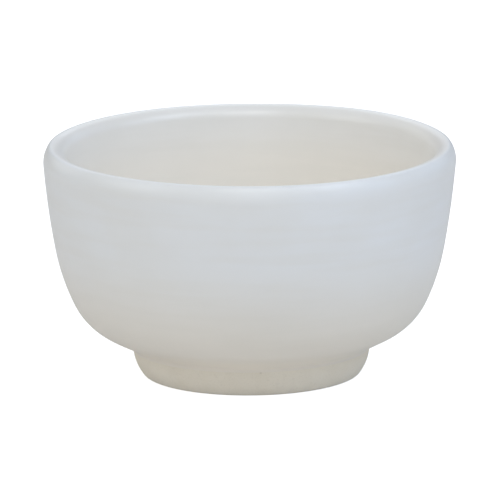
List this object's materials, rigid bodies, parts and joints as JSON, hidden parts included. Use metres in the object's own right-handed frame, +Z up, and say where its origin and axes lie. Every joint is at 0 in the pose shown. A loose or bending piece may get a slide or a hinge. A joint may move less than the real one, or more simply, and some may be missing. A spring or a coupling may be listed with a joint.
{
  "type": "evaporating dish",
  "caption": "Round, deep, thick-walled porcelain evaporating dish with a rounded lip, glazed inside and out, standing on a bare foot ring.",
  "frame": {"origin": "centre of the flat ring that the dish stands on, at bench level", "axes": "+Z up along the axis of the dish; the dish is turned, so X and Y are any two level directions"},
  "size_m": [0.08, 0.08, 0.0451],
  "materials": {
    "bowl_porcelain": "bare fired porcelain, smooth and matt",
    "foot_porcelain": "bare fired porcelain, matt, warm white",
    "glaze": "clear satin-gloss glaze over white porcelain, milky"
  },
  "bodies": {
    "root": {"bowl": "bowl_porcelain", "foot_ring": "foot_porcelain", "glaze_coat": "glaze"}
  },
  "joints": []
}
